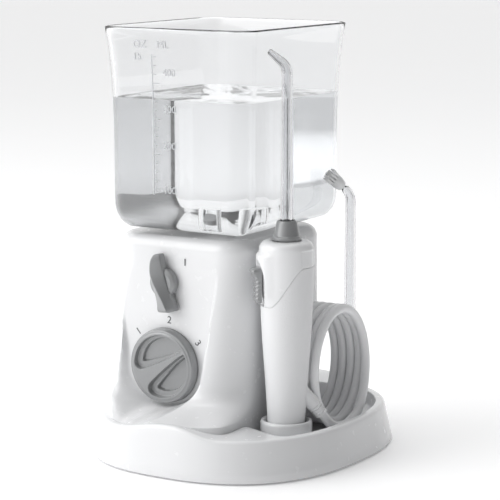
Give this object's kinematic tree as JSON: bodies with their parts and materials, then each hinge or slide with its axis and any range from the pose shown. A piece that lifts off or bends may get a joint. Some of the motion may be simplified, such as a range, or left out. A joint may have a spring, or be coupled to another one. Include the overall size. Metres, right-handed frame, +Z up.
{
  "type": "water flosser",
  "caption": "Countertop water flosser with a lift-off tank, corded handle with a rotating jet tip, pressure dial, power knob and a stored spare tip.",
  "frame": {"origin": "centre of the base's footprint, on the surface it stands on", "axes": "-Y is the front with the controls, +X is the side with the handle and the hose, +Z is up"},
  "size_m": [0.1282, 0.1472, 0.2],
  "materials": {
    "gloss_white": "gloss",
    "textured_white": "fine texture",
    "control_grey": "satin",
    "inner_grey": "satin",
    "clear": "clear",
    "clear_tip": "clear",
    "clear_tube": "clear",
    "black_plastic": "satin",
    "rubber": "matt",
    "steel": "brushed",
    "brass": "machined",
    "natural_plastic": "satin",
    "hose_white": "smooth",
    "circuit_board": "satin"
  },
  "bodies": {
    "base_unit": {"base_foot": "gloss_white", "bottom_cover": "inner_grey", "cover_screw_1": "steel", "cover_screw_2": "steel", "cover_screw_3": "steel", "cover_screw_4": "steel", "rubber_foot_1": "rubber", "rubber_foot_2": "rubber", "rubber_foot_3": "rubber", "rubber_foot_4": "rubber", "body_housing": "gloss_white", "cord_gland": "rubber", "power_switch": "black_plastic", "pressure_regulator": "natural_plastic", "reservoir_seat": "natural_plastic", "seat_gasket": "rubber", "chassis": "inner_grey", "motor": "steel", "gear_axle": "steel", "pump_cylinder": "natural_plastic", "pump_head": "natural_plastic", "inlet_valve": "rubber", "outlet_valve": "rubber", "rectifier_board": "circuit_board", "inlet_tube": "clear_tube", "outlet_tube": "clear_tube", "hose_feed_tube": "clear_tube", "handle_holder": "gloss_white", "tip_post": "gloss_white", "hose_coil": "hose_white", "hose_tail": "hose_white", "hose_gland": "gloss_white"},
    "tank": {"reservoir": "clear", "reservoir_valve_body": "natural_plastic", "valve_spring": "steel"},
    "tank_valve": {"valve_poppet": "inner_grey"},
    "power_lever": {"power_knob": "control_grey"},
    "dial": {"pressure_dial": "control_grey", "regulator_needle": "brass"},
    "handle": {"handle_grip": "textured_white", "handle_head": "gloss_white", "water_passage": "natural_plastic", "tip_seal": "rubber", "hose_strain_relief": "hose_white", "hose_lead": "hose_white"},
    "collar": {"tip_collar": "control_grey"},
    "tip": {"jet_tip": "clear_tip"},
    "pause_control": {"pause_slider": "control_grey", "pause_valve_spool": "inner_grey"},
    "eject": {"eject_button": "gloss_white"},
    "stored_tip": {"stored_tip_tube": "clear_tip", "stored_brush_head": "gloss_white"},
    "crank": {"crank_gear": "natural_plastic"},
    "rotor": {"motor_shaft": "steel", "motor_pinion": "brass"},
    "pump_drive": {"drive_yoke": "natural_plastic", "piston_rod": "steel", "piston": "natural_plastic", "piston_seal": "rubber"}
  },
  "joints": [
    {"name": "reservoir_lift", "type": "slide", "parent": "base_unit", "child": "tank", "axis": [0, 0, 1], "range_m": [0, 0.03]},
    {"name": "valve_open", "type": "slide", "parent": "tank", "child": "tank_valve", "axis": [0, 0, 1], "range_m": [0, 0.002], "stiffness_N_per_m": 80, "springref_m": -0.005, "deforming": ["valve_spring"]},
    {"name": "power_knob_turn", "type": "hinge", "parent": "base_unit", "child": "power_lever", "pos_m": [-0.0215, 0, 0.082], "axis": [0, 1, 0], "range_deg": [0, 53]},
    {"name": "pressure_dial_turn", "type": "hinge", "parent": "base_unit", "child": "dial", "pos_m": [-0.0215, 0, 0.0426], "axis": [0, 1, 0], "range_deg": [-102, 0]},
    {"name": "handle_lift", "type": "slide", "parent": "base_unit", "child": "handle", "axis": [0, 0, 1], "range_m": [0, 0.012]},
    {"name": "tip_rotate", "type": "hinge", "parent": "handle", "child": "collar", "pos_m": [0.036, -0.021, 0.1], "axis": [0, 0, 1], "continuous": true},
    {"name": "tip_pull", "type": "slide", "parent": "collar", "child": "tip", "axis": [0, 0, 1], "range_m": [0, 0.015]},
    {"name": "pause_slide", "type": "slide", "parent": "handle", "child": "pause_control", "axis": [0, 0, -1], "range_m": [0, 0.005]},
    {"name": "eject_press", "type": "slide", "parent": "handle", "child": "eject", "axis": [-0.7071, -0.7071, 0], "range_m": [0, 0.0018], "stiffness_N_per_m": 300, "springref_m": -0.002},
    {"name": "stored_tip_lift", "type": "slide", "parent": "base_unit", "child": "stored_tip", "axis": [0, 0, 1], "range_m": [0, 0.012]},
    {"name": "crank_spin", "type": "hinge", "parent": "base_unit", "child": "crank", "pos_m": [-0.018, 0, 0.056], "axis": [0, 1, 0], "continuous": true},
    {"name": "motor_spin", "type": "hinge", "parent": "base_unit", "child": "rotor", "pos_m": [-0.03, 0, 0.072], "axis": [0, 1, 0], "continuous": true},
    {"name": "piston_stroke", "type": "slide", "parent": "base_unit", "child": "pump_drive", "axis": [0, 0, 1], "range_m": [-0.004, 0.004]}
  ],
  "couplings": [
    {"joint": "motor_spin", "follows": "crank_spin", "ratio": -4}
  ]
}
